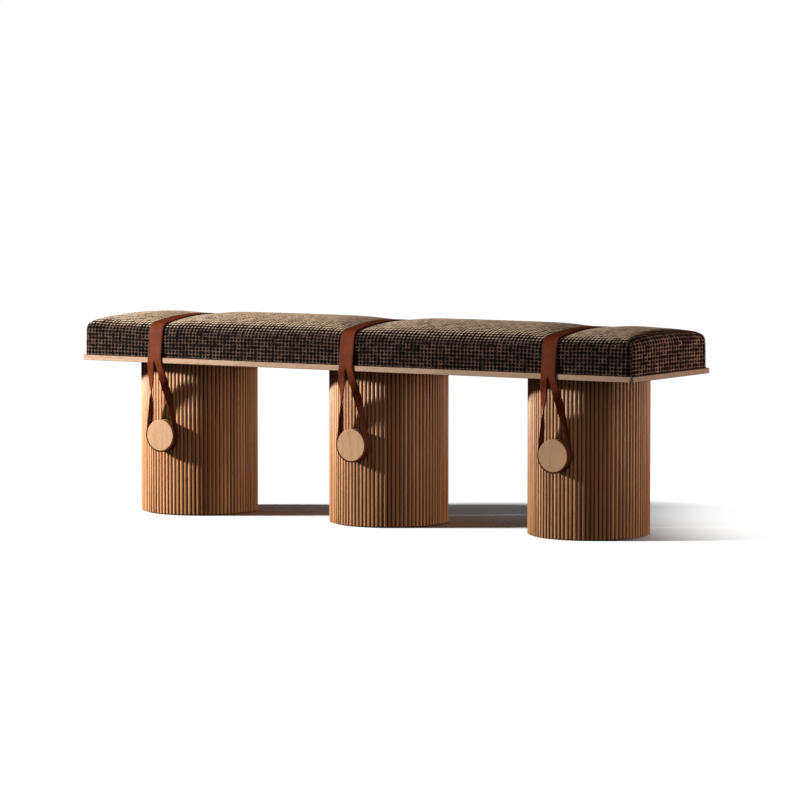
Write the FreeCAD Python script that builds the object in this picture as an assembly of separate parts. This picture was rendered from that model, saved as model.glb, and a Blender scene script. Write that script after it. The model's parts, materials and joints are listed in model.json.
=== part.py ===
import FreeCAD
import Part
import math
import os

from FreeCAD import Vector

# The bench stands on the floor plane with its middle at the origin.
# X runs along the seat, the front faces -Y and Z points up. Lengths are in millimetres.

# Seat board
seat_length = 1460.0
seat_depth = 366.0
board_thickness = 12.0
board_corner_radius = 8.0
board_edge_round = 1.2

# Legs: three reeded drums in a row, each a bent sleeve round a hollow core
leg_overhang = 71.5
leg_diameter = 273.0
leg_height = 357.0
reed_count = 90
reed_depth = 4.3
sleeve_wall = 3.0
core_wall = 9.0
plate_thickness = 18.0
glue_gap = 0.1

# Felt glides under each leg
glide_count = 4
glide_diameter = 30.0
glide_thickness = 2.5
glide_inset = 12.0

# Cushion: a foam pad on a plywood panel inside a woven cover
cushion_inset = 5.0
cushion_height = 100.5
cushion_corner_radius = 13.0
shoulder_radius = 22.0
crown_rise = 18.0
side_lean = 2.5
end_rise = 2.0
end_length = 150.0
end_edge_round = 0.5
cover_thickness = 1.6
cover_margin = 45.0
panel_thickness = 9.0
soft_gap = 1.0

# Channels that the straps press into the cushion
channel_depth = 9.0
channel_flattening = 5.0
channel_margin = 2.0
channel_ramp = 80.0
ramp_steps = 6

# Leather straps, slit below the board into a loop at each end
strap_width = 37.0
strap_thickness = 2.5
strap_gap = 0.3
slit_width = 0.5
fold_gap = 0.3
twist_length = 120.0
loop_gap = 0.9
loop_sections = 13

# Round pegs that the loops hook over
peg_diameter = 72.0
peg_thickness = 20.0
peg_edge_round = 1.0
peg_height = 188.0
neck_diameter = 30.0
neck_length = 7.5
neck_gap = 0.2

# Countersunk screws through the board into the legs
board_screw_count = 4
board_screw_circle = 160.0
board_screw_diameter = 4.5
board_screw_length = 27.0
board_screw_head = 9.0

# Round-headed screws from inside the legs into the pegs
peg_screw_diameter = 6.0
peg_screw_length = 32.0
peg_screw_head = 12.0
peg_screw_head_height = 3.5

# Clearances of the screws
screw_clearance = 0.3
thread_clearance = 0.05
head_clearance = 0.2
tip_clearance = 1.0

# Values that follow from the sizes above
leg_radius = leg_diameter / 2
core_radius = leg_radius - reed_depth - sleeve_wall - glue_gap
core_bore = core_radius - core_wall
board_top = leg_height + board_thickness
board_front = seat_depth / 2
cushion_half_length = seat_length / 2 - cushion_inset
cushion_half_depth = seat_depth / 2 - cushion_inset
channel_half_width = strap_width / 2 + channel_margin
peg_back = leg_radius + neck_length
peg_screw_seat = math.sqrt(core_bore ** 2 - (peg_screw_head / 2) ** 2) - head_clearance
leg_spacing = seat_length / 2 - leg_overhang - leg_radius
leg_places = {"left": -leg_spacing, "middle": 0.0, "right": leg_spacing}
UP = Vector(0, 0, 1)
FRONT = Vector(0, -1, 0)


def save(shape, name):
    """Write one piece to the file that bears its name."""
    shape.exportStep("parts/" + name + ".step")


def smooth(share):
    """Ease from 0 to 1 with level ends."""
    clamped = min(max(share, 0.0), 1.0)
    return clamped * clamped * (3 - 2 * clamped)


def settle(share):
    """Go from 0 to 1 at once and come to rest level."""
    return (3 * share - share ** 3) / 2


def line(start, end):
    """Straight edge between two points."""
    return Part.LineSegment(start, end).toShape()


def arc(start, middle, end):
    """Circular edge through three points."""
    return Part.Arc(start, middle, end).toShape()


def ring_points(count, radius, turn):
    """Points spaced evenly on a circle round the leg's axis, the first one turned by an angle."""
    angles = [turn + 2 * math.pi * index / count for index in range(count)]
    return [Vector(radius * math.cos(angle), radius * math.sin(angle), 0) for angle in angles]


def turned_to_back(shape):
    """Copy of a front piece, turned half round the middle upright axis of its leg."""
    back = shape.copy()
    back.rotate(Vector(0, 0, 0), UP, 180)
    return back


def rounded_plate(half_length, half_depth, radius, base, thickness):
    """Flat plate with four round corners."""
    flat_x = half_length - radius
    flat_y = half_depth - radius
    diagonal = radius * math.sqrt(0.5)
    edges = []
    for sign_x, sign_y in ((1, 1), (-1, 1), (-1, -1), (1, -1)):
        on_end = Vector(sign_x * half_length, sign_y * flat_y, base)
        on_corner = Vector(sign_x * (flat_x + diagonal), sign_y * (flat_y + diagonal), base)
        on_side = Vector(sign_x * flat_x, sign_y * half_depth, base)
        edges.append(arc(on_end, on_corner, on_side))
    for sign in (1, -1):
        side_y = sign * half_depth
        end_x = sign * half_length
        edges.append(line(Vector(-flat_x, side_y, base), Vector(flat_x, side_y, base)))
        edges.append(line(Vector(end_x, -flat_y, base), Vector(end_x, flat_y, base)))
    outline = Part.Wire(Part.__sortEdges__(edges))
    return Part.Face(outline).extrude(UP * thickness)


def board_screw():
    """Countersunk screw with its flat head at height 0, pointing down."""
    head = board_screw_head / 2
    shank = board_screw_diameter / 2
    cone = Part.makeCone(head, shank, head - shank, Vector(0, 0, 0), -UP)
    return cone.fuse(Part.makeCylinder(shank, board_screw_length, Vector(0, 0, 0), -UP)).removeSplitter()


def board_screw_hole():
    """Clearance hole through the board, with its countersink."""
    head = board_screw_head / 2 + head_clearance
    shank = board_screw_diameter / 2 + screw_clearance
    cone = Part.makeCone(head, shank, head - shank, Vector(0, 0, 0), -UP)
    return cone.fuse(Part.makeCylinder(shank, board_thickness, Vector(0, 0, 0), -UP))


def board_screw_places(height):
    """Where the screws of one leg stand, at a height."""
    places = ring_points(board_screw_count, board_screw_circle / 2, math.pi / board_screw_count)
    return [place + UP * height for place in places]


def seat_board():
    """Board with softened edges and the screw holes above each leg."""
    half_length = seat_length / 2
    half_depth = seat_depth / 2
    plate = rounded_plate(half_length, half_depth, board_corner_radius, leg_height, board_thickness)
    rims = [edge for edge in plate.Edges if edge.BoundBox.ZLength < board_thickness / 2]
    plate = plate.makeFillet(board_edge_round, rims)
    head_top = board_top - head_clearance
    for leg_x in leg_places.values():
        for place in board_screw_places(head_top):
            hole = board_screw_hole()
            rise = Part.makeCylinder(board_screw_head / 2 + head_clearance, board_thickness)
            hole = hole.fuse(rise)
            hole.translate(place + Vector(leg_x, 0, 0))
            plate = plate.cut(hole)
    return plate


def board_screws():
    """Screws of one leg, as separate solids."""
    solids = []
    for place in board_screw_places(board_top - head_clearance):
        screw = board_screw()
        screw.translate(place)
        solids.append(screw)
    return Part.makeCompound(solids)


def reeded_sleeve():
    """Bent oak sleeve with half-round reeds outside and a hole behind each peg."""
    step = 2 * math.pi / reed_count
    grooves = ring_points(reed_count, leg_radius - reed_depth, 0.0)
    crowns = ring_points(reed_count, leg_radius, step / 2)
    reeds = []
    for index in range(reed_count):
        reeds.append(arc(grooves[index], crowns[index], grooves[(index + 1) % reed_count]))
    height = leg_height - glide_thickness
    base = UP * glide_thickness
    drum = Part.Face(Part.Wire(reeds)).extrude(UP * height)
    drum.translate(base)
    sleeve = drum.cut(Part.makeCylinder(core_radius + glue_gap, height, base))
    hole_start = Vector(0, leg_radius, peg_height)
    neck_hole = Part.makeCylinder(neck_diameter / 2 + neck_gap, leg_diameter, hole_start, FRONT)
    return sleeve.cut(neck_hole)


def leg_core():
    """Bent plywood tube behind the sleeve, drilled for the peg screws."""
    height = leg_height - glide_thickness
    base = UP * glide_thickness
    tube = Part.makeCylinder(core_radius, height, base).cut(Part.makeCylinder(core_bore, height, base))
    hole_start = Vector(0, core_radius, peg_height)
    hole_radius = peg_screw_diameter / 2 + screw_clearance
    return tube.cut(Part.makeCylinder(hole_radius, 2 * core_radius, hole_start, FRONT))


def top_plate():
    """Plywood disc in the head of the core, with pilot holes for the board screws."""
    base = leg_height - plate_thickness
    plate = Part.makeCylinder(core_bore - glue_gap, plate_thickness, UP * base)
    depth = board_screw_length - board_thickness - head_clearance + tip_clearance
    for place in board_screw_places(leg_height):
        pilot = Part.makeCylinder(board_screw_diameter / 2 + thread_clearance, depth, place, -UP)
        plate = plate.cut(pilot)
    return plate


def base_plate():
    """Plywood disc in the foot of the core."""
    return Part.makeCylinder(core_bore - glue_gap, plate_thickness, UP * glide_thickness)


def felt_glides():
    """Felt pads under the base plate, as separate solids."""
    circle = core_bore - glide_inset - glide_diameter / 2
    places = ring_points(glide_count, circle, math.pi / glide_count)
    radius = glide_diameter / 2
    return Part.makeCompound([Part.makeCylinder(radius, glide_thickness, place) for place in places])


def front_peg():
    """Round peg on a neck that passes through the sleeve and stands on the core."""
    disc_start = Vector(0, -peg_back, peg_height)
    disc = Part.makeCylinder(peg_diameter / 2, peg_thickness, disc_start, FRONT)
    rims = [edge for edge in disc.Edges if edge.BoundBox.YLength < peg_thickness / 2]
    disc = disc.makeFillet(peg_edge_round, rims)
    neck_back = core_radius + glue_gap
    neck_start = Vector(0, -neck_back, peg_height)
    neck = Part.makeCylinder(neck_diameter / 2, peg_back - neck_back, neck_start, FRONT)
    pilot_length = peg_screw_seat + peg_screw_length + tip_clearance - neck_back
    pilot_radius = peg_screw_diameter / 2 + thread_clearance
    pilot = Part.makeCylinder(pilot_radius, pilot_length, neck_start, FRONT)
    return disc.fuse(neck).removeSplitter().cut(pilot)


def front_peg_screw():
    """Screw that holds the front peg, its head against the bore of the core."""
    seat = Vector(0, -peg_screw_seat, peg_height)
    head = Part.makeCylinder(peg_screw_head / 2, peg_screw_head_height, seat, -FRONT)
    shank = Part.makeCylinder(peg_screw_diameter / 2, peg_screw_length, seat, FRONT)
    return head.fuse(shank).removeSplitter()


def peg_screws():
    """Screws of both pegs of one leg, as separate solids."""
    screw = front_peg_screw()
    return Part.makeCompound([screw, turned_to_back(screw)])


def channel_share(x):
    """How far a strap presses the cushion at a place: 1 under the strap, 0 away from it."""
    distance = min(abs(x - leg_x) for leg_x in leg_places.values())
    return 1 - smooth((distance - channel_half_width) / channel_ramp)


def crown_shape(half_depth, shoulder, rise, top):
    """Centres and radii of the tangent arcs over the top of a cushion section.

    Returns the shoulder's centre, the crown's centre height and the crown's radius.
    """
    shoulder_y = half_depth - shoulder
    shoulder_z = top - shoulder - rise
    reach = (shoulder_y ** 2 + rise ** 2) / (2 * rise)
    crown_radius = reach + shoulder
    return shoulder_y, shoulder_z, top - crown_radius, crown_radius


def cushion_section(x, inset, base):
    """Closed outline of the cushion across the seat at a place along it."""
    to_end = cushion_half_length - inset - abs(x)
    corner = cushion_corner_radius - inset
    shoulder_full = shoulder_radius - inset
    corner_cut = max(corner - to_end, 0.0)
    shoulder_cut = max(shoulder_full - to_end, 0.0)
    half_depth = cushion_half_depth - inset - corner + math.sqrt(corner ** 2 - corner_cut ** 2)
    shoulder_left = math.sqrt(shoulder_full ** 2 - shoulder_cut ** 2)
    pressed = channel_share(x)
    fall = (crown_rise - end_rise) * max(1 - to_end / end_length, 0.0) ** 2
    top = board_top + cushion_height - inset - channel_depth * pressed - fall
    top = top - shoulder_full + shoulder_left
    shoulder = max(shoulder_left, end_edge_round)
    rise = crown_rise - channel_flattening * pressed - fall
    lean_depth = half_depth - side_lean
    centre_y, centre_z, crown_z, crown_radius = crown_shape(lean_depth, shoulder, rise, top)
    slope = math.atan2(centre_z - crown_z, centre_y)
    half_slope = slope / 2
    points = {}
    for sign in (1, -1):
        turn_y = sign * (centre_y + shoulder * math.cos(half_slope))
        meet_y = sign * crown_radius * math.cos(slope)
        points[sign] = (
            Vector(x, sign * half_depth, base),
            Vector(x, sign * lean_depth, centre_z),
            Vector(x, turn_y, centre_z + shoulder * math.sin(half_slope)),
            Vector(x, meet_y, crown_z + crown_radius * math.sin(slope)),
        )
    right_foot, right_side, right_turn, right_meet = points[1]
    left_foot, left_side, left_turn, left_meet = points[-1]
    return Part.Wire([
        line(left_foot, right_foot),
        line(right_foot, right_side),
        arc(right_side, right_turn, right_meet),
        arc(right_meet, Vector(x, 0, top), left_meet),
        arc(left_meet, left_turn, left_side),
        line(left_side, left_foot),
    ])


def cushion_stations(inset):
    """Places along the seat where the cushion changes, from one end to the other."""
    end = cushion_half_length - inset
    round_length = max(cushion_corner_radius, shoulder_radius) - inset
    places = []
    for leg_x in leg_places.values():
        for step in range(ramp_steps + 1):
            reach = channel_half_width + channel_ramp * step / ramp_steps
            places.extend((leg_x - reach, leg_x + reach))
    for step in range(ramp_steps + 1):
        to_end = round_length * (1 - math.cos(math.pi / 2 * step / ramp_steps))
        fall_place = round_length + (end_length - round_length) * step / ramp_steps
        for sign in (1, -1):
            places.extend((sign * (end - to_end), sign * (end - fall_place)))
    kept = []
    for place in sorted(places):
        if abs(place) <= end and (not kept or place - kept[-1] > end_edge_round):
            kept.append(place)
    return kept


def cushion_solid(inset, base):
    """Cushion body, drawn in by an inset all round, standing on a base height."""
    sections = [cushion_section(x, inset, base) for x in cushion_stations(inset)]
    return Part.makeLoft(sections, True, True)


def cushion_cover():
    """Woven cover, turned under the pad and open in the middle of its underside."""
    outside = cushion_solid(0.0, board_top)
    inside = cushion_solid(cover_thickness, board_top + cover_thickness)
    hole_length = cushion_half_length - cover_margin
    hole_depth = cushion_half_depth - cover_margin
    hole = rounded_plate(hole_length, hole_depth, cushion_corner_radius, board_top, cover_thickness)
    return outside.cut(inside).cut(hole)


def cushion_panel():
    """Plywood panel that the pad lies on, inside the cover."""
    inset = cover_thickness + soft_gap + side_lean
    base = board_top + cover_thickness
    corner = cushion_corner_radius - inset
    half_length = cushion_half_length - inset
    half_depth = cushion_half_depth - inset
    return rounded_plate(half_length, half_depth, corner, base, panel_thickness)


def cushion_foam():
    """Foam pad between the panel and the cover."""
    return cushion_solid(cover_thickness + soft_gap, board_top + cover_thickness + panel_thickness)


def strap_line(gap):
    """Edges along a strap over the cushion, a gap away from what it lies on, from front to back."""
    shoulder = shoulder_radius
    top = board_top + cushion_height - channel_depth
    rise = crown_rise - channel_flattening
    lean_depth = cushion_half_depth - side_lean
    centre_y, centre_z, crown_z, crown_radius = crown_shape(lean_depth, shoulder, rise, top)
    run_y = board_front - centre_y
    run_z = centre_z - board_top
    lean = math.atan2(run_z, -run_y) - math.acos(-shoulder / math.hypot(run_y, run_z))
    slope = math.atan2(centre_z - crown_z, centre_y)
    middle = (lean + slope) / 2

    def around(radius, centre, angle, sign):
        out = sign * (centre[0] + radius * math.cos(angle))
        return Vector(0, out, centre[1] + radius * math.sin(angle))

    edge = (board_front, board_top)
    turn = (centre_y, centre_z)
    sides = {}
    for sign in (-1, 1):
        foot = Vector(0, sign * (board_front + gap), leg_height)
        sides[sign] = [
            line(foot, around(gap, edge, 0.0, sign)),
            arc(*[around(gap, edge, angle, sign) for angle in (0.0, lean / 2, lean)]),
            line(around(gap, edge, lean, sign), around(shoulder + gap, turn, lean, sign)),
            arc(*[around(shoulder + gap, turn, angle, sign) for angle in (lean, middle, slope)]),
        ]
    outer = crown_radius + gap
    meets = [around(outer, (0.0, crown_z), slope, sign) for sign in (-1, 1)]
    crown = arc(meets[0], Vector(0, 0, crown_z + outer), meets[1])
    return sides[-1] + [crown] + sides[1][::-1]


def strap_band():
    """Strap from the fold under the front of the board, over the cushion, to the fold at the back."""
    inner = strap_gap
    outer = strap_gap + strap_thickness
    edges = strap_line(inner) + strap_line(outer)
    for sign in (-1, 1):
        inner_foot = Vector(0, sign * (board_front + inner), leg_height)
        outer_foot = Vector(0, sign * (board_front + outer), leg_height)
        edges.append(line(inner_foot, outer_foot))
    outline = Part.Wire(Part.__sortEdges__(edges))
    band = Part.Face(outline).extrude(Vector(strap_width, 0, 0))
    band.translate(Vector(-strap_width / 2, 0, 0))
    return band


def front_loop():
    """Slit end of a strap: two halves that twist a quarter turn and join round the peg."""
    half_width = (strap_width - slit_width) / 2
    ring_radius = peg_diameter / 2 + loop_gap + strap_thickness / 2
    fold_x = slit_width / 2 + half_width / 2
    fold_y = -(board_front + strap_gap + strap_thickness / 2)
    fold_z = leg_height - fold_gap
    ring_y = -(peg_back + peg_thickness / 2)
    drop = fold_z - peg_height
    tilt = math.asin(ring_radius / math.hypot(fold_x, drop)) - math.atan2(fold_x, drop)
    meet_x = ring_radius * math.cos(tilt)
    meet_z = peg_height + ring_radius * math.sin(tilt)
    twist_share = twist_length / (fold_z - meet_z)

    def half_section(share, sign):
        twisted = smooth(share / twist_share)
        twist = math.pi / 2 * twisted
        centre = Vector(
            sign * (fold_x + (meet_x - fold_x) * share),
            fold_y + (ring_y - fold_y) * settle(share),
            fold_z + (meet_z - fold_z) * share,
        )
        across = Vector(sign * math.cos(twist), math.sin(twist), 0) * (half_width / 2)
        lifted = tilt * twisted
        outward = Vector(
            sign * math.sin(twist) * math.cos(lifted),
            -math.cos(twist),
            math.sin(twist) * math.sin(lifted),
        )
        through = outward * (strap_thickness / 2)
        corners = [
            centre - across - through,
            centre + across - through,
            centre + across + through,
            centre - across + through,
        ]
        return Part.makePolygon(corners + corners[:1])

    shares = [index / (loop_sections - 1) for index in range(loop_sections)]
    halves = []
    for sign in (1, -1):
        sections = [half_section(share, sign) for share in shares]
        halves.append(Part.makeLoft(sections, True, False))

    def on_ring(radius, angle):
        start_y = ring_y - half_width / 2
        return Vector(radius * math.cos(angle), start_y, peg_height + radius * math.sin(angle))

    inner = ring_radius - strap_thickness / 2
    outer = ring_radius + strap_thickness / 2
    spans = (tilt, -math.pi / 2, math.pi - tilt)
    outline = Part.Wire([
        arc(*[on_ring(outer, angle) for angle in spans]),
        line(on_ring(outer, spans[2]), on_ring(inner, spans[2])),
        arc(*[on_ring(inner, angle) for angle in spans[::-1]]),
        line(on_ring(inner, spans[0]), on_ring(outer, spans[0])),
    ])
    ring = Part.Face(outline).extrude(Vector(0, half_width, 0))
    return ring.fuse(halves).removeSplitter()


def moved(shape, leg_x):
    """Copy of a piece of the middle leg, moved along the seat to another leg."""
    copy = shape.copy()
    copy.translate(Vector(leg_x, 0, 0))
    return copy


def main():
    """Build every piece and write it to its own file."""
    os.makedirs("parts", exist_ok=True)
    save(seat_board(), "seat_board")
    save(cushion_cover(), "cushion_cover")
    save(cushion_foam(), "cushion_foam")
    save(cushion_panel(), "cushion_panel")
    peg = front_peg()
    loop = front_loop()
    leg_pieces = {
        "leg_sleeve": reeded_sleeve(),
        "leg_core": leg_core(),
        "leg_top_plate": top_plate(),
        "leg_base_plate": base_plate(),
        "leg_glides": felt_glides(),
        "board_screws": board_screws(),
        "peg_screws": peg_screws(),
        "peg_front": peg,
        "peg_back": turned_to_back(peg),
        "strap_band": strap_band(),
        "strap_loop_front": loop,
        "strap_loop_back": turned_to_back(loop),
    }
    for side, leg_x in leg_places.items():
        for name, shape in leg_pieces.items():
            save(moved(shape, leg_x), side + "_" + name)


main()
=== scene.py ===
"""Dresses the bed bench: an oak board on three reeded drums, a woven cushion and leather straps."""

from __future__ import annotations

import json
import logging
import math
from dataclasses import dataclass
from enum import Enum

import bpy
import numpy as np
from mathutils import Matrix, Vector

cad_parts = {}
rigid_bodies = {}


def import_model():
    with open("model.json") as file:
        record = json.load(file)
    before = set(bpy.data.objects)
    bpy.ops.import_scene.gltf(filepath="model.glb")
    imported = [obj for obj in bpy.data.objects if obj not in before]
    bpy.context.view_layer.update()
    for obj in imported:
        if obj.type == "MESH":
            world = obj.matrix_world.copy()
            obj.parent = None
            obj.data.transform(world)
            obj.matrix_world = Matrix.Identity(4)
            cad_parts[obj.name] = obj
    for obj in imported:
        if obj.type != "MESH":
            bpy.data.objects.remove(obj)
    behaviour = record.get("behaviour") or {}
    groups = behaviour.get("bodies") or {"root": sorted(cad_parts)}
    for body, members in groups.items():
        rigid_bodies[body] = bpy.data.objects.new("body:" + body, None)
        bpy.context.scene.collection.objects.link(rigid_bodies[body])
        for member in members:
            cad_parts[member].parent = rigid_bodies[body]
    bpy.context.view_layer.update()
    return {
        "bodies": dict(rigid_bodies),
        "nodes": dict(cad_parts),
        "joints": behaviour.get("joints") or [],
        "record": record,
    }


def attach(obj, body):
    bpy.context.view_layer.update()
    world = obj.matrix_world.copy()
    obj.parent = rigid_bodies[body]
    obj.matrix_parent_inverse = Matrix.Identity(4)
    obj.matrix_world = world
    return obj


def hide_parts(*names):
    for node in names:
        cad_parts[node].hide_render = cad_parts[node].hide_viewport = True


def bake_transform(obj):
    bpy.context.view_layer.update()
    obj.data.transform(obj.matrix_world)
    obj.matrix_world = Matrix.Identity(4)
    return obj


log = logging.getLogger("bed_bench")

LEG_SPACING = 0.522
LEG_PLACES: dict[str, float] = {"left": -LEG_SPACING, "middle": 0.0, "right": LEG_SPACING}
BOARD_TOP = 0.369
PAD_SHOULDER = 0.022
PEG_HEIGHT = 0.188
REEDS = 90
GROOVE_RADIUS = 0.1322
CROWN_RADIUS = 0.1365
FRAME_BODY = "bench"

Colour = tuple[float, float, float, float]
Triple = tuple[float, float, float]
Piece = bpy.types.Object
Outlet = bpy.types.NodeSocket
Inlet = float | tuple[float, ...] | Outlet


class GrainRun(Enum):
    """Direction in which the fibres of a piece of wood run, as the stretch of its pattern."""

    ALONG = (0.05, 1.0, 1.0)
    UPRIGHT = (1.0, 1.0, 0.05)


class LampKind(Enum):
    """Kind of a studio light, as Blender's name of it."""

    PANEL = "AREA"
    FAR = "SUN"
    CONE = "SPOT"


class LampReach(Enum):
    """What a studio light falls on, as the state in which it takes the floor."""

    BENCH = "EXCLUDE"
    FLOOR = "INCLUDE"


class LoopSide(Enum):
    """Side of the bench on which a strap's loop hangs, as the turn of the front one."""

    FRONT = 0.0
    BACK = math.pi


def deselect() -> None:
    """Clear the selection, so that an operator acts only on what is chosen next."""
    bpy.ops.object.select_all(action="DESELECT")


def choose(*items: Piece) -> None:
    """Select these objects alone and make the first one active.

    Args:
        *items: The objects.
    """
    deselect()
    for item in items:
        item.select_set(True)
    bpy.context.view_layer.objects.active = items[0]


def read_rows(items: bpy.types.bpy_prop_collection, name: str) -> np.ndarray:
    """Read one vector of each item of a mesh.

    Args:
        items: Vertices or their normals.
        name: Blender's name of the vector.

    Returns:
        One row of x, y and z for each item.
    """
    flat = np.empty(len(items) * 3, np.float32)
    items.foreach_get(name, flat)
    return flat.reshape(-1, 3).astype(float)


def points_of(item: Piece) -> np.ndarray:
    """Places of an object's vertices, one row of x, y and z for each."""
    return read_rows(item.data.vertices, "co")


def normals_of(item: Piece) -> np.ndarray:
    """Outward directions at an object's vertices, one row of x, y and z for each."""
    return read_rows(item.data.vertex_normals, "vector")


def set_points(item: Piece, points: np.ndarray) -> None:
    """Move an object's vertices to new places, given as one row for each."""
    item.data.vertices.foreach_set("co", points.astype(np.float32).ravel())
    item.data.update()


def finish_with(item: Piece, kind: str, **settings: object) -> None:
    """Add a modifier to an object and apply it.

    Args:
        item: Mesh object.
        kind: Blender's name of the modifier.
        **settings: Its settings.
    """
    choose(item)
    modifier = item.modifiers.new(kind.lower(), kind)
    for name, value in settings.items():
        setattr(modifier, name, value)
    bpy.ops.object.modifier_apply(modifier=modifier.name)


def add_grid(name: str, columns: int, rows: int) -> Piece:
    """Add a flat grid, one unit wide, to be shaped into a piece.

    Args:
        name: Name of the new object.
        columns: Number of faces along X.
        rows: Number of faces along Y.

    Returns:
        The grid.
    """
    deselect()
    bpy.ops.mesh.primitive_grid_add(x_subdivisions=columns, y_subdivisions=rows, size=1.0, calc_uvs=False)
    grid = bpy.context.object
    grid.name = name
    grid.data.name = name
    return grid


def select_rims() -> None:
    """Select the open edges of the mesh that is being edited."""
    bpy.ops.mesh.select_mode(type="EDGE")
    bpy.ops.mesh.select_all(action="DESELECT")
    bpy.ops.mesh.select_non_manifold(
        extend=False,
        use_wire=False,
        use_boundary=True,
        use_multi_face=False,
        use_non_contiguous=False,
        use_verts=False,
    )


def point_outwards() -> None:
    """Turn all the faces of the mesh that is being edited outwards."""
    bpy.ops.mesh.select_all(action="SELECT")
    bpy.ops.mesh.normals_make_consistent(inside=False)


def copy_of(item: Piece, name: str, placing: Matrix) -> Piece:
    """Copy a modelled piece with its own mesh, and move the copy's mesh.

    Args:
        item: Piece to copy.
        name: Name of the copy.
        placing: Move of the copy's vertices.

    Returns:
        The copy.
    """
    copy = item.copy()
    copy.data = item.data.copy()
    copy.name = name
    copy.data.name = name
    copy.data.transform(placing)
    bpy.context.scene.collection.objects.link(copy)
    return copy


def dress(item: Piece, material: bpy.types.Material) -> None:
    """Give an object one material in place of those it has."""
    item.data.materials.clear()
    item.data.materials.append(material)


def smoothstep(share: np.ndarray) -> np.ndarray:
    """Ease from 0 to 1 with level ends."""
    clamped = np.clip(share, 0.0, 1.0)
    return clamped * clamped * (3 - 2 * clamped)


class NodeSheet:
    """Node tree of one finish, built up call by call."""

    def __init__(self, name: str) -> None:
        """Start a material with a principled shader.

        Args:
            name: Name of the material.
        """
        self.material = bpy.data.materials.new(name)
        self.material.use_nodes = True
        self.tree = self.material.node_tree
        self.tree.nodes.clear()
        self.shader = self.tree.nodes.new("ShaderNodeBsdfPrincipled")
        output = self.tree.nodes.new("ShaderNodeOutputMaterial")
        self.tree.links.new(self.shader.outputs["BSDF"], output.inputs["Surface"])

    def feed(self, socket: Outlet, value: Inlet) -> None:
        """Set an inlet to a number or colour, or link it to another node's outlet.

        Args:
            socket: The inlet.
            value: What goes into it.
        """
        if isinstance(value, Outlet):
            self.tree.links.new(value, socket)
        else:
            socket.default_value = value

    def add(self, kind: str, outlet: int | str, inlets: dict[int | str, Inlet], **settings: str) -> Outlet:
        """Add a node.

        Args:
            kind: Blender's name of the node, after the word that all shader nodes share.
            outlet: Which of its outlets is wanted.
            inlets: What goes into its inlets.
            **settings: Its other settings.

        Returns:
            The outlet.
        """
        node = self.tree.nodes.new(f"ShaderNode{kind}")
        for name, setting in settings.items():
            setattr(node, name, setting)
        for name, value in inlets.items():
            self.feed(node.inputs[name], value)
        return node.outputs[outlet]

    def shade(self, **inlets: Inlet) -> None:
        """Feed the shader.

        Args:
            **inlets: What goes into its inlets, named in lower case and joined by underscores.
        """
        names = {socket.name.lower().replace(" ", "_"): socket for socket in self.shader.inputs}
        for name, value in inlets.items():
            self.feed(names[name], value)

    def place(self) -> Outlet:
        """Object coordinates."""
        return self.add("TexCoord", "Object", {})

    def stretched(self, vector: Inlet, stretch: Triple) -> Outlet:
        """Vector with each of its axes multiplied."""
        return self.add("Mapping", "Vector", {"Vector": vector, "Scale": stretch})

    def sum_of(self, first: Inlet, second: Inlet) -> Outlet:
        """Sum of two vectors."""
        return self.add("VectorMath", "Vector", {0: first, 1: second})

    def split(self, vector: Inlet) -> tuple[Outlet, ...]:
        """The three numbers of a vector."""
        return tuple(self.add("SeparateXYZ", 0, {0: vector}).node.outputs)

    def joined(self, x: Inlet, y: Inlet, z: Inlet) -> Outlet:
        """Vector of three numbers."""
        return self.add("CombineXYZ", 0, {0: x, 1: y, 2: z})

    def math(self, operation: str, first: Inlet, second: Inlet = 0.0) -> Outlet:
        """Result of Blender's operation of this name on one or two numbers."""
        return self.add("Math", 0, {0: first, 1: second}, operation=operation)

    def plus(self, first: Inlet, second: Inlet) -> Outlet:
        """Sum of two numbers."""
        return self.math("ADD", first, second)

    def less(self, first: Inlet, second: Inlet) -> Outlet:
        """First number less the second."""
        return self.math("SUBTRACT", first, second)

    def times(self, first: Inlet, second: Inlet) -> Outlet:
        """Product of two numbers."""
        return self.math("MULTIPLY", first, second)

    def eased(self, value: Inlet, low: float, high: float) -> Outlet:
        """Number that goes smoothly from 0 at one value to 1 at another."""
        inlets = {"Value": value, "From Min": low, "From Max": high}
        return self.add("MapRange", "Result", inlets, interpolation_type="SMOOTHSTEP")

    def between(self, value: Inlet, low: float, high: float) -> Outlet:
        """Number from 0 to 1 brought into the range from low to high."""
        return self.add("MapRange", "Result", {"Value": value, "To Min": low, "To Max": high})

    def noise(self, vector: Inlet, scale: float, detail: float = 2.0, twist: float = 0.0) -> Outlet:
        """Cloudy pattern from 0 to 1: clouds for each metre, layers of finer ones, and their bend."""
        inlets = {"Vector": vector, "Scale": scale, "Detail": detail, "Distortion": twist}
        return self.add("TexNoise", "Fac", inlets)

    def cells(self, vector: Inlet, scale: float) -> Outlet:
        """Distance to the nearest of many scattered points, as in the grain of leather."""
        return self.add("TexVoronoi", "Distance", {"Vector": vector, "Scale": scale})

    def chance(self, value: Inlet) -> Outlet:
        """Fixed chance number from 0 to 1 for each value."""
        return self.add("TexWhiteNoise", "Value", {"W": value}, noise_dimensions="1D")

    def scatter(self, x: Inlet, y: Inlet, set_number: float) -> Outlet:
        """Fixed chance number from 0 to 1 for each pair of values, in one of many sets."""
        return self.add("TexWhiteNoise", "Value", {"Vector": self.joined(x, y, set_number)})

    def mixed(self, share: Inlet, first: Inlet, second: Inlet) -> Outlet:
        """Mix of two colours, from a share of 0 for the first to 1 for the second."""
        return self.add("Mix", 2, {0: share, 6: first, 7: second}, data_type="RGBA")

    def toned(self, colour: Inlet, value: Inlet) -> Outlet:
        """Colour made lighter or darker by a factor."""
        return self.add("HueSaturation", "Color", {"Value": value, "Color": colour})

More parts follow.
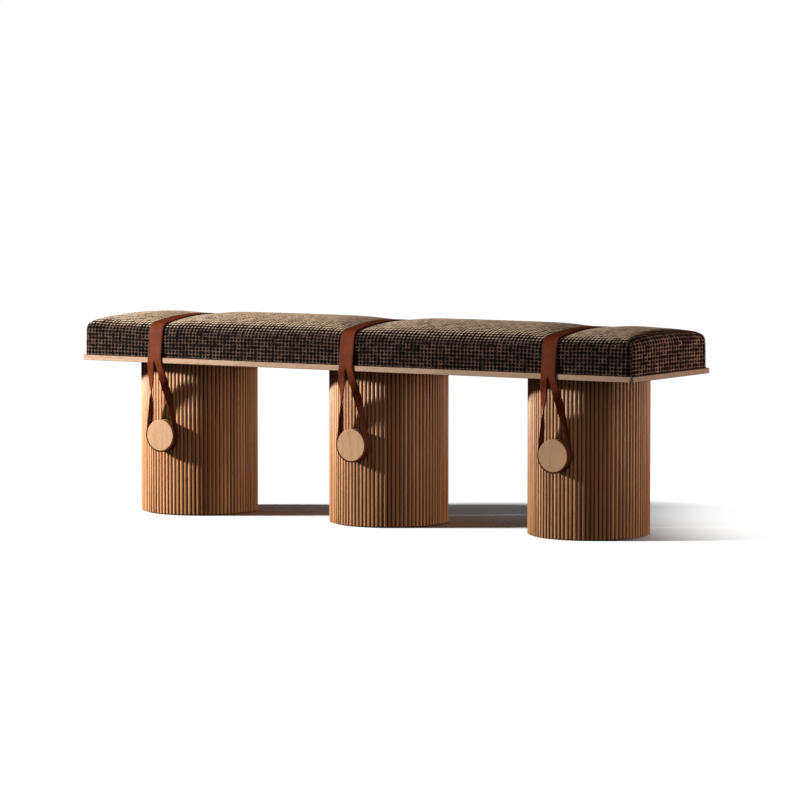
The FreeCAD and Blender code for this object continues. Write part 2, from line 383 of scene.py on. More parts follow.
    def bumped(self, height: Inlet, depth: float, **under: Outlet) -> Outlet:
        """Fine relief with a depth in metres, over another one if that is given as Normal."""
        return self.add("Bump", "Normal", {"Height": height, "Distance": depth, **under})

    def leg_turn(self) -> tuple[Outlet, Outlet, Outlet]:
        """Place round the axis of the nearest leg.

        Returns:
            Outlets of the leg's number, of the angle in radians and of the distance in metres.
        """
        x, y, _ = self.split(self.place())
        number = self.math("ROUND", self.math("DIVIDE", x, LEG_SPACING))
        near_x = self.less(x, self.times(number, LEG_SPACING))
        squares = self.plus(self.times(near_x, near_x), self.times(y, y))
        return number, self.math("ARCTAN2", y, near_x), self.math("SQRT", squares)


@dataclass(frozen=True)
class Finish:
    """Surface of one kind of piece, made of nodes alone."""

    name: str

    def paint(self, sheet: NodeSheet) -> None:
        """Lay the patterns, which each kind of finish does in its own way."""
        raise NotImplementedError

    def material(self) -> bpy.types.Material:
        """Build the finish.

        Returns:
            The material.
        """
        sheet = NodeSheet(self.name)
        self.paint(sheet)
        return sheet.material


@dataclass(frozen=True)
class OakFinish(Finish):
    """Oiled oak with long pores, broad figure and small changes of tone."""

    light: Colour
    dark: Colour
    # Colour of the pores, and of the painted shade in the reeds' grooves.
    pore_and_groove_shade: Colour
    run: GrainRun
    roughness: float
    gloss: float
    reeds: int = 0
    reed_shift: float = 3.0
    leg_step: float = 137.0

    def paint(self, sheet: NodeSheet) -> None:
        """Lay the grain, and on reeds a tone for each of them and painted shade in the grooves.

        Args:
            sheet: Node tree to fill.
        """
        place = sheet.place()
        if self.reeds:
            leg, angle, radius = sheet.leg_turn()
            reed = sheet.math("FLOOR", sheet.times(angle, self.reeds / math.tau))
            tone = sheet.chance(sheet.plus(reed, sheet.times(leg, self.leg_step)))
            place = sheet.sum_of(place, sheet.joined(0.0, 0.0, sheet.times(tone, self.reed_shift)))
        run = sheet.stretched(place, self.run.value)
        figure = sheet.noise(run, scale=55.0, detail=4.0, twist=0.8)
        fibre = sheet.noise(run, scale=420.0, detail=3.0, twist=0.2)
        pores = sheet.eased(sheet.noise(run, scale=1100.0), 0.6, 0.72)
        patch = sheet.noise(place, scale=9.0)
        colour = sheet.mixed(sheet.eased(figure, 0.32, 0.7), self.light, self.dark)
        colour = sheet.mixed(sheet.times(fibre, 0.35), colour, self.dark)
        colour = sheet.mixed(sheet.times(pores, 0.45), colour, self.pore_and_groove_shade)
        colour = sheet.toned(colour, sheet.between(patch, 0.86, 1.14))
        if self.reeds:
            colour = sheet.toned(colour, sheet.between(tone, 0.78, 1.18))
            # Painted shade: the reeds darken to the pore colour down into their grooves.
            colour = sheet.mixed(sheet.eased(radius, GROOVE_RADIUS, CROWN_RADIUS), self.pore_and_groove_shade, colour)
        relief = sheet.bumped(fibre, depth=0.00012)
        sheet.shade(
            base_color=colour,
            roughness=sheet.between(fibre, self.roughness - 0.08, self.roughness + 0.12),
            specular_ior_level=self.gloss,
            normal=sheet.bumped(sheet.less(1.0, pores), depth=0.00025, Normal=relief),
        )


@dataclass(frozen=True)
class WeaveFinish(Finish):
    """Coarse open weave of soft yarns round holes of painted shade, with painted highlights on the yarns,
    painted sheen where the pad faces up and painted light on its ends.

    Places in the weave are counted in meshes from the middle of a hole.
    """

    yarn: Colour
    yarn_deep: Colour
    # Colour of the painted highlights on the yarns.
    yarn_rim: Colour
    # Colour of the painted sheen where the pad faces up.
    painted_sheen_yarn: Colour
    # Near-black painted shade inside the holes.
    painted_hole_shade: Colour
    sheen: Colour
    yarn_edge: tuple[float, float] = (0.41, 0.49)
    rim_fade: tuple[float, float] = (0.52, 0.66)
    painted_knot_light: tuple[float, float] = (0.5, 0.68)
    painted_end_light: float = 3.4

    def paint(self, sheet: NodeSheet) -> None:
        """Lay the weave on the cover's own map, which counts meshes.

        Args:
            sheet: Node tree to fill.
        """
        uv = sheet.add("UVMap", "UV", {}, uv_map="weave")
        facing = sheet.add("Attribute", "Vector", {}, attribute_name="facing")
        facing_end, _, facing_up = sheet.split(facing)
        endward = sheet.math("ABSOLUTE", facing_end)
        upward = sheet.times(facing_up, sheet.between(sheet.eased(endward, 0.04, 0.28), 1.0, 0.72))
        # Painted sheen: the yarn is lightened where the pad faces up, in place of light at grazing angles.
        painted_sheen = sheet.math("POWER", sheet.eased(upward, 0.35, 1.0), 2.8)
        place = sheet.place()
        fuzz = sheet.noise(place, scale=900.0)
        wander = sheet.noise(place, scale=160.0)
        squares, tones, numbers, holes = [], [], [], []
        for along in sheet.split(uv)[:2]:
            number = sheet.math("ROUND", along)
            to_hole = sheet.less(0.5, sheet.math("ABSOLUTE", sheet.less(along, number)))
            squares.append(sheet.times(to_hole, to_hole))
            tones.append(sheet.chance(number))
            numbers.append(number)
            holes.append(sheet.math("FLOOR", along))
        from_hole = sheet.math("SQRT", sheet.plus(*squares))
        for pattern, least, most in (
            (fuzz, -0.06, 0.06),
            (wander, -0.07, 0.07),
            (sheet.scatter(*holes, 1.0), -0.05, 0.06),
            # These two follow the painted sheen: holes grow on the shoulders and shrink on the flat top.
            (painted_sheen, 0.0, -0.05),
            (sheet.eased(upward, 0.85, 0.995), 0.0, 0.12),
        ):
            from_hole = sheet.plus(from_hole, sheet.between(pattern, least, most))
        yarn = sheet.eased(from_hole, *self.yarn_edge)
        rim = sheet.less(yarn, sheet.eased(from_hole, *self.rim_fade))
        # Painted highlight on the yarns next to the holes, stronger at some holes than at others.
        glint = sheet.times(rim, sheet.scatter(*holes, 2.0))
        knot = sheet.eased(from_hole, *self.painted_knot_light)
        over = sheet.math("PINGPONG", sheet.plus(*numbers), 1.0)
        thread = sheet.noise(sheet.stretched(uv, (3.0, 3.0, 1.0)), scale=2.4, detail=3.0)
        tone = sheet.times(thread, 0.5)
        for part in (*tones, over):
            tone = sheet.plus(tone, sheet.times(part, 0.25))
        spun = sheet.mixed(sheet.eased(tone, 0.25, 1.0), self.yarn_deep, self.yarn)
        # Painted highlight on the yarns.
        spun = sheet.mixed(glint, spun, self.yarn_rim)
        # Painted light: the yarn is lightened on the pad's ends.
        spun = sheet.toned(spun, sheet.between(sheet.eased(endward, 0.35, 0.9), 1.0, self.painted_end_light))
        # Painted sheen on the pad's top.
        spun = sheet.mixed(painted_sheen, spun, self.painted_sheen_yarn)
        # Painted highlight and shade: the yarn is lightened where the yarns cross and darkened nearer the
        # holes.
        spun = sheet.toned(spun, sheet.between(knot, 0.8, 1.5))
        # The holes are filled with painted shade.
        colour = sheet.mixed(yarn, self.painted_hole_shade, spun)
        patch = sheet.noise(place, scale=7.0, detail=3.0)
        sheet.shade(
            base_color=sheet.toned(colour, sheet.between(patch, 0.88, 1.12)),
            roughness=sheet.between(fuzz, 0.78, 0.98),
            specular_ior_level=0.03,
            sheen_weight=0.08,
            sheen_roughness=0.3,
            sheen_tint=self.sheen,
            normal=sheet.bumped(sheet.plus(sheet.times(yarn, 0.7), fuzz), depth=0.0006),
        )


@dataclass(frozen=True)
class LeatherFinish(Finish):
    """Waxed strap leather with a fine grain and burnished edges."""

    light: Colour
    dark: Colour
    edge: Colour

    def paint(self, sheet: NodeSheet) -> None:
        """Lay the grain, and the burnish by the strap's own edge attribute.

        Args:
            sheet: Node tree to fill.
        """
        place = sheet.place()
        edge = sheet.add("Attribute", "Fac", {}, attribute_name="edge")
        grain = sheet.cells(place, scale=900.0)
        cloud = sheet.noise(place, scale=38.0, detail=4.0, twist=0.4)
        speck = sheet.noise(place, scale=420.0, detail=3.0)
        colour = sheet.mixed(sheet.eased(cloud, 0.3, 0.72), self.light, self.dark)
        colour = sheet.mixed(sheet.times(speck, 0.3), colour, self.dark)
        colour = sheet.mixed(sheet.times(sheet.eased(edge, 0.62, 1.0), 0.7), colour, self.edge)
        relief = sheet.bumped(grain, depth=0.00015)
        sheet.shade(
            base_color=colour,
            roughness=sheet.between(speck, 0.45, 0.62),
            specular_ior_level=0.02,
            normal=sheet.bumped(cloud, depth=0.0004, Normal=relief),
        )


@dataclass(frozen=True)
class PlywoodFinish(Finish):
    """Birch plywood: pale faces with faint figure, and thin plies at the cut edges."""

    face: Colour
    ply: Colour
    plies_per_metre: float = 700.0

    def paint(self, sheet: NodeSheet) -> None:
        """Lay the figure and the plies, which follow height and distance from the leg's axis.

        Args:
            sheet: Node tree to fill.
        """
        place = sheet.place()
        _, _, z = sheet.split(place)
        _, _, radius = sheet.leg_turn()
        depth = sheet.plus(sheet.times(z, self.plies_per_metre), sheet.times(radius, self.plies_per_metre))
        plies = sheet.eased(sheet.math("PINGPONG", depth, 1.0), 0.42, 0.58)
        run = sheet.stretched(place, GrainRun.ALONG.value)
        figure = sheet.noise(run, scale=60.0, detail=4.0, twist=0.7)
        colour = sheet.mixed(sheet.times(plies, 0.5), self.face, self.ply)
        sheet.shade(
            base_color=sheet.toned(colour, sheet.between(figure, 0.85, 1.12)),
            roughness=sheet.between(figure, 0.55, 0.75),
            normal=sheet.bumped(figure, depth=0.0002),
        )


@dataclass(frozen=True)
class FeltFinish(Finish):
    """Pressed wool felt."""

    wool: Colour
    fleck: Colour

    def paint(self, sheet: NodeSheet) -> None:
        """Lay the fibres and tufts.

        Args:
            sheet: Node tree to fill.
        """
        place = sheet.place()
        fibre = sheet.noise(place, scale=1400.0, detail=4.0, twist=1.5)
        tuft = sheet.noise(place, scale=260.0, detail=3.0)
        colour = sheet.mixed(sheet.eased(fibre, 0.35, 0.7), self.wool, self.fleck)
        sheet.shade(
            base_color=sheet.toned(colour, sheet.between(tuft, 0.8, 1.2)),
            roughness=sheet.between(tuft, 0.85, 1.0),
            sheen_weight=0.4,
            normal=sheet.bumped(fibre, depth=0.0004),
        )


@dataclass(frozen=True)
class SteelFinish(Finish):
    """Zinc-plated steel, a little clouded."""

    bright: Colour
    dull: Colour

    def paint(self, sheet: NodeSheet) -> None:
        """Lay the clouds and fine scratches.

        Args:
            sheet: Node tree to fill.
        """
        place = sheet.place()
        cloud = sheet.noise(place, scale=300.0, detail=4.0)
        scratch = sheet.noise(sheet.stretched(place, (1.0, 1.0, 14.0)), scale=500.0)
        sheet.shade(
            base_color=sheet.mixed(cloud, self.bright, self.dull),
            metallic=1.0,
            roughness=sheet.between(scratch, 0.25, 0.5),
            normal=sheet.bumped(scratch, depth=0.00005),
        )


@dataclass(frozen=True)
class FloorFinish(Finish):
    """Matt pale studio floor with the faintest mottling."""

    pale: Colour
    shade: Colour

    def paint(self, sheet: NodeSheet) -> None:
        """Lay the mottling.

        Args:
            sheet: Node tree to fill.
        """
        cloud = sheet.noise(sheet.place(), scale=0.6, detail=3.0)
        sheet.shade(
            base_color=sheet.mixed(cloud, self.pale, self.shade),
            roughness=sheet.between(cloud, 0.9, 1.0),
            specular_ior_level=0.05,
        )


BOARD_OAK = OakFinish(
    "board_oak",
    light=(0.285, 0.186, 0.124, 1),
    dark=(0.2, 0.125, 0.08, 1),
    pore_and_groove_shade=(0.1, 0.055, 0.03, 1),
    run=GrainRun.ALONG,
    roughness=0.55,
    gloss=0.2,
)
REED_OAK = OakFinish(
    "reed_oak",
    light=(0.40, 0.205, 0.093, 1),
    dark=(0.27, 0.12, 0.05, 1),
    pore_and_groove_shade=(0.065, 0.021, 0.007, 1),
    run=GrainRun.UPRIGHT,
    roughness=0.45,
    gloss=0.3,
    reeds=REEDS,
)
PEG_OAK = OakFinish(
    "peg_oak",
    light=(0.315, 0.188, 0.105, 1),
    dark=(0.255, 0.146, 0.078, 1),
    pore_and_groove_shade=(0.15, 0.085, 0.044, 1),
    run=GrainRun.UPRIGHT,
    roughness=0.55,
    gloss=0.2,
)
PLYWOOD = PlywoodFinish("plywood", face=(0.34, 0.25, 0.16, 1), ply=(0.19, 0.12, 0.07, 1))
WEAVE = WeaveFinish(
    "woven_cover",
    yarn=(0.022, 0.0122, 0.0092, 1),
    yarn_deep=(0.007, 0.0038, 0.0029, 1),
    yarn_rim=(0.138, 0.085, 0.067, 1),
    painted_sheen_yarn=(0.368, 0.275, 0.199, 1),
    painted_hole_shade=(0.0015, 0.001, 0.0008, 1),
    sheen=(0.85, 0.6, 0.42, 1),
)
LEATHER = LeatherFinish(
    "strap_leather",
    light=(0.103, 0.0225, 0.009, 1),
    dark=(0.068, 0.0145, 0.0058, 1),
    edge=(0.032, 0.008, 0.004, 1),
)
FELT = FeltFinish("felt", wool=(0.035, 0.03, 0.027, 1), fleck=(0.09, 0.08, 0.07, 1))
STEEL = SteelFinish("screw_steel", bright=(0.62, 0.60, 0.56, 1), dull=(0.36, 0.35, 0.33, 1))
FLOOR = FloorFinish("studio_floor", pale=(0.93, 0.93, 0.93, 1), shade=(0.91, 0.91, 0.91, 1))


@dataclass
class Cushion:
    """Crowned pad in a coarse woven cover, pressed in under the straps. Lengths are in metres."""

    half_length: float = 0.7275
    half_depth: float = 0.179
    base: float = BOARD_TOP
    height: float = 0.1005
    shoulder: float = PAD_SHOULDER
    corner: float = 0.008
    lean: float = 0.0025
    crown: float = 0.018
    end_crown: float = 0.004
    end_length: float = 0.13
    channel_depth: float = 0.009
    channel_flattening: float = 0.005
    channel_half_width: float = 0.0205
    channel_ramp: float = 0.08
    columns: int = 115
    rows: int = 21
    courses: int = 7
    free_courses: int = 2
    end_hold: float = 0.035
    slack: float = 0.004
    swell: float = 0.0045
    pit: float = 0.0015
    crest: float = 0.0003
    strap_sink: float = 0.0005
    foot_fade: float = 0.004
    meshes_per_face: float = 4 / 3
    steps: int = 20
    pressure: float = 4.0
    stretch_stiffness: float = 25.0
    bending_stiffness: float = 0.6
    fill: float = 0.85

    def pressed(self, x: np.ndarray) -> np.ndarray:
        """How far the straps press the pad at places along it: 1 under a strap, 0 away from it."""
        distance = np.min([np.abs(x - place) for place in LEG_PLACES.values()], axis=0)
        return 1 - smoothstep((distance - self.channel_half_width) / self.channel_ramp)

    def under_strap(self, x: np.ndarray) -> np.ndarray:
        """Whether places along the pad lie right under a strap."""
        return self.pressed(x) > 0.999

    def top_height(self, x: np.ndarray, y: np.ndarray) -> np.ndarray:
        """Height of the pad's top above the board.

        Args:
            x: Places along the pad.
            y: Places across it.

        Returns:
            Heights, held level beyond the shoulders.
        """
        to_end = np.clip((self.half_length - np.abs(x)) / self.end_length, 0.0, 1.0)
        fall = (self.crown - self.end_crown) * (1 - to_end) ** 2
        pressed = self.pressed(x)
        rise = self.crown - self.channel_flattening * pressed - fall
        across = np.clip(np.abs(y) / (self.half_depth - self.lean - self.shoulder), 0.0, 1.0)
        return self.height - self.channel_depth * pressed - fall - rise * across**2

    def tightened_corner(self, points: np.ndarray) -> np.ndarray:
        """Tighten the round of the four upright corners from the shoulder's radius to their own.

        Args:
            points: Places on the pad.

        Returns:
            New places.
        """
        middle = np.array([self.half_length - self.shoulder, self.half_depth - self.lean - self.shoulder])
        out = np.abs(points[:, :2]) - middle
        near = np.all(out > 1e-9, axis=1)
        turn = np.arctan2(out[near, 1], out[near, 0])
        cosine, sine = np.cos(turn), np.sin(turn)
        inset = self.shoulder - self.corner
        along = inset * (cosine + sine)
        to_round = along + np.sqrt(np.maximum(along**2 - 2 * inset**2 + self.corner**2, 0.0))
        to_side = self.shoulder / np.maximum(cosine, sine)
        reach = np.where(to_side * np.minimum(cosine, sine) < inset, to_side, to_round)
        placed = points.copy()
        moved = middle + out[near] * (reach / self.shoulder)[:, None]
        placed[near, :2] = np.sign(points[near, :2]) * moved
        return placed

    def form(self, column: np.ndarray, row: np.ndarray, course: np.ndarray) -> np.ndarray:
        """Places of the cover's vertices on the full pad.

        Args:
            column: Number of each vertex along the pad.
            row: Number across it.
            course: Number down its sides, 0 on top.

        Returns:
            One row of x, y and z for each vertex.
        """
        arc = self.shoulder * math.pi / 4
        edge_height = self.height - self.crown
        flat = np.array([self.half_length - self.shoulder, self.half_depth - self.lean - self.shoulder])
        foot = edge_height - self.shoulder
        share = np.stack([column / self.columns, row / self.rows], axis=1) - 0.5
        run = share * 2 * (flat + arc)
        turn = np.sign(run) * np.clip(np.abs(run) - flat, 0.0, None) / self.shoulder
        down = course / self.courses * (arc + foot)
        lift = np.tan(np.clip(math.pi / 4 - down / self.shoulder, 0.0, None))
        outward = np.column_stack([np.tan(turn), lift])
        outward /= np.linalg.norm(outward, axis=1)[:, None]
        inner = np.column_stack([np.clip(run, -flat, flat), foot - np.clip(down - arc, 0.0, None)])
        points = self.tightened_corner(inner + self.shoulder * outward)
        side = np.clip((np.abs(points[:, 1]) - flat[1]) / self.shoulder, 0.0, 1.0)
        points[:, 1] += np.sign(points[:, 1]) * self.lean * side * np.clip(1 - points[:, 2] / foot, 0.0, 1.0)
        points[:, 2] *= self.top_height(points[:, 0], points[:, 1]) / edge_height
        points[:, 2] += self.base
        return points

    def sew(self) -> tuple[Piece, np.ndarray]:
        """Make the cover as a grid with its edges drawn down into sides and a closed underside.

        Returns:
            The cover, and the column, row and course of each of its vertices.
        """
        cover = add_grid("cushion", self.columns, self.rows)
        bpy.ops.object.mode_set(mode="EDIT")
        select_rims()
        for _ in range(self.courses):
            bpy.ops.mesh.extrude_region_move(TRANSFORM_OT_translate={"value": (0.0, 0.0, -1.0)})
        bpy.ops.transform.edge_crease(value=1.0)
        bpy.ops.mesh.edge_face_add()
        point_outwards()
        bpy.ops.object.mode_set(mode="OBJECT")
        points = points_of(cover)
        places = np.rint((points + (0.5, 0.5, 0.0)) * (self.columns, self.rows, -1.0))
        return cover, places

    def map_weave(self, cover: Piece, places: np.ndarray) -> None:
        """Give the cover a map that counts meshes of its weave, unfolded from the top.

        Args:
            cover: The sewn cover.
            places: Column, row and course of each vertex.
        """
        layer = cover.data.uv_layers.new(name="weave")
        for face in cover.data.polygons:
            numbers = list(face.vertices)
            column, row, course = places[numbers].T
            u, v = column.copy(), row.copy()
            if course.max() > course.min():
                if np.ptp(row) == 0:
                    v = np.where(row == 0, -course, row + course)
                else:
                    u = np.where(column == 0, -course, column + course)
            for loop, pair in zip(face.loop_indices, np.stack([u, v], axis=1) * self.meshes_per_face):
                layer.data[loop].uv = pair

    def stuff(self, cover: Piece, held: np.ndarray) -> None:
        """Swell the cover as cloth under pressure, held at its sides, its ends and under the straps.

        Args:
            cover: Cover, drawn in a little.
            held: 1 for each vertex that stays, 0 for the others.
        """
        start = points_of(cover)
        group = cover.vertex_groups.new(name="held")
        group.add([int(number) for number in np.flatnonzero(held)], 1.0, "REPLACE")
        choose(cover)
        cloth = cover.modifiers.new("stuffing", "CLOTH")
        settings = cloth.settings
        settings.quality = 8
        settings.use_pressure = True
        settings.uniform_pressure_force = self.pressure
        settings.tension_stiffness = self.stretch_stiffness
        settings.compression_stiffness = self.stretch_stiffness
        settings.bending_stiffness = self.bending_stiffness
        settings.effector_weights.gravity = 0.0
        settings.vertex_group_mass = group.name
        cloth.collision_settings.use_collision = False
        for frame in range(1, self.steps + 1):
            bpy.context.scene.frame_set(frame)
        bpy.ops.object.modifier_apply(modifier=cloth.name)
        bpy.context.scene.frame_set(1)
        cover.vertex_groups.clear()
        move = points_of(cover) - start
        length = np.maximum(np.linalg.norm(move, axis=1), 1e-9)
        log.info("cushion swells by %.4f m at most, %.4f m on average", length.max(), length.mean())
        limited = self.swell * np.tanh(length / self.swell)
        set_points(cover, start + move * (limited / length)[:, None])

    def weave(self, cover: Piece) -> None:
        """Raise the yarns and sink the holes between them, with three vertices to a mesh of the weave.

        Args:
            cover: Stuffed cover with its map.
        """
        finish_with(cover, "SUBSURF", levels=2, render_levels=2, uv_smooth="NONE")
        mesh = cover.data
        corners = np.empty(len(mesh.loops), np.int32)
        mesh.loops.foreach_get("vertex_index", corners)
        flat = np.empty(len(mesh.loops) * 2, np.float32)
        mesh.uv_layers["weave"].data.foreach_get("uv", flat)
        count = np.zeros((len(mesh.vertices), 2))
        count[corners] = flat.reshape(-1, 2)
        thirds = np.rint(count * 3).astype(int)
        # Directions the cover faces, which place the painted sheen on top and the painted light on the ends.
        facing = mesh.attributes.new("facing", "FLOAT_VECTOR", "POINT")
        facing.data.foreach_set("vector", normals_of(cover).astype(np.float32).ravel())
        sunk = np.all(thirds % 3 != 0, axis=1)
        knot = np.all(thirds % 3 == 0, axis=1)
        over = np.where((thirds // 3).sum(axis=1) % 2 == 0, 1.0, -0.5)
        points = points_of(cover)
        height = np.where(sunk, -self.pit, self.crest * (1 + 0.8 * knot * over))
        height -= self.strap_sink * self.under_strap(points[:, 0])
        height *= smoothstep((points[:, 2] - self.base) / self.foot_fade)
        set_points(cover, points + normals_of(cover) * height[:, None])

    def build(self) -> list[Piece]:
        """Make the whole cushion.

        Returns:
            The cushion alone, in place.
        """
        cover, places = self.sew()
        self.map_weave(cover, places)
        set_points(cover, self.form(*places.T))
        x = points_of(cover)[:, 0]
        inside = (self.half_length - np.abs(x)) / self.end_hold
        held = (places[:, 2] >= self.free_courses) | self.under_strap(x) | (inside < 1)
        loose = (1 - self.pressed(x)) * np.clip(1 - places[:, 2] / self.free_courses, 0.0, 1.0)
        loose *= smoothstep(inside - 1)
        set_points(cover, points_of(cover) - normals_of(cover) * (self.slack * loose)[:, None])
        self.stuff(cover, held)
        self.weave(cover)
        choose(cover)
        bpy.ops.object.shade_smooth()
        dress(cover, WEAVE.material())
        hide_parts("cushion_cover", "cushion_foam")
        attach(cover, FRAME_BODY)
        return [cover]


@dataclass
class ReededSleeves:
    """Reeded oak sleeves of the three legs. Lengths are in metres."""

    reeds: int = REEDS
    crown_radius: float = CROWN_RADIUS
    groove_radius: float = GROOVE_RADIUS
    bore: float = 0.1292
    foot: float = 0.0025
    top: float = 0.357
    edge: float = 0.0008
    facets: int = 12
    peg_height: float = PEG_HEIGHT
    neck_hole: float = 0.0152
    drill_facets: int = 64
    smooth_angle: float = 40.0

    def outline(self) -> np.ndarray:
        """Points round the reeds, seen from above.

        Returns:
            One row of x and y for each point.
        """
        half_step = math.pi / self.reeds
        half_chord = self.groove_radius * math.sin(half_step)
        rise = self.crown_radius - self.groove_radius * math.cos(half_step)
        radius = (half_chord**2 + rise**2) / (2 * rise)
        half_turn = math.asin(half_chord / radius)
        turns = np.linspace(-half_turn, half_turn, self.facets, endpoint=False)
        along = radius * np.sin(turns)
        out = self.crown_radius - radius + radius * np.cos(turns)
        middle = (np.arange(self.reeds) * 2 * half_step + half_step)[:, None]
        x = out * np.cos(middle) - along * np.sin(middle)
        y = out * np.sin(middle) + along * np.cos(middle)
        return np.column_stack([x.ravel(), y.ravel()])

    def turn_sleeve(self) -> Piece:
        """Model one sleeve round the middle axis, from a circle drawn up outside and down its bore.

        Returns:
            The sleeve.
        """
        outline = self.outline()
        count = len(outline)
        heights = [self.foot, self.foot + self.edge, self.top - self.edge, self.top, self.top, self.foot]
        deselect()
        bpy.ops.mesh.primitive_circle_add(vertices=count, radius=1.0, fill_type="NOTHING")
        sleeve = bpy.context.object
        bpy.ops.object.mode_set(mode="EDIT")
        bpy.ops.mesh.select_mode(type="EDGE")
        bpy.ops.mesh.select_all(action="SELECT")
        for _ in heights[1:]:
            bpy.ops.mesh.extrude_region_move(TRANSFORM_OT_translate={"value": (0.0, 0.0, 1.0)})
        select_rims()
        bpy.ops.mesh.bridge_edge_loops()
        bpy.ops.object.mode_set(mode="OBJECT")
        points = points_of(sleeve)
        turn = np.rint(np.arctan2(points[:, 1], points[:, 0]) / math.tau * count).astype(int) % count
        level = np.rint(points[:, 2]).astype(int)
        order = np.argsort(np.arctan2(outline[:, 1], outline[:, 0]) % math.tau)
        around = outline[order][turn]
        size = np.linalg.norm(around, axis=1)
        inside = np.array([0, 0, 0, 0, 1, 1])[level]
        drawn_in = np.array([self.edge, 0.0, 0.0, self.edge, 0.0, 0.0])[level]
        reach = np.where(inside, self.bore, size - drawn_in)
        set_points(sleeve, np.column_stack([around * (reach / size)[:, None], np.array(heights)[level]]))
        choose(sleeve)
        bpy.ops.object.mode_set(mode="EDIT")
        point_outwards()
        bpy.ops.object.mode_set(mode="OBJECT")
        return sleeve

    def bore_necks(self, sleeve: Piece) -> None:
        """Drill the sleeve through at the front and back for the necks of the pegs.

        Args:
            sleeve: Sleeve round the middle axis.
        """
        deselect()
        bpy.ops.mesh.primitive_cylinder_add(
            vertices=self.drill_facets,
            radius=self.neck_hole,
            depth=4 * self.crown_radius,
            location=(0.0, 0.0, self.peg_height),
            rotation=(math.pi / 2, 0.0, 0.0),
        )
        drill = bpy.context.object
        finish_with(sleeve, "BOOLEAN", operation="DIFFERENCE", solver="EXACT", object=drill)
        bpy.data.objects.remove(drill)

    def build(self) -> list[Piece]:
        """Make the three sleeves.

        Returns:
            The sleeves, in place.
        """
        sleeve = self.turn_sleeve()
        self.bore_necks(sleeve)
        choose(sleeve)
        bpy.ops.object.shade_smooth_by_angle(angle=math.radians(self.smooth_angle))
        dress(sleeve, REED_OAK.material())
        sleeves = []
        for side, x in LEG_PLACES.items():
            copy = copy_of(sleeve, f"{side}_reeds", Matrix.Translation((x, 0.0, 0.0)))
            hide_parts(f"{side}_leg_sleeve")
            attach(copy, FRAME_BODY)
            sleeves.append(copy)
        bpy.data.objects.remove(sleeve)
        return sleeves


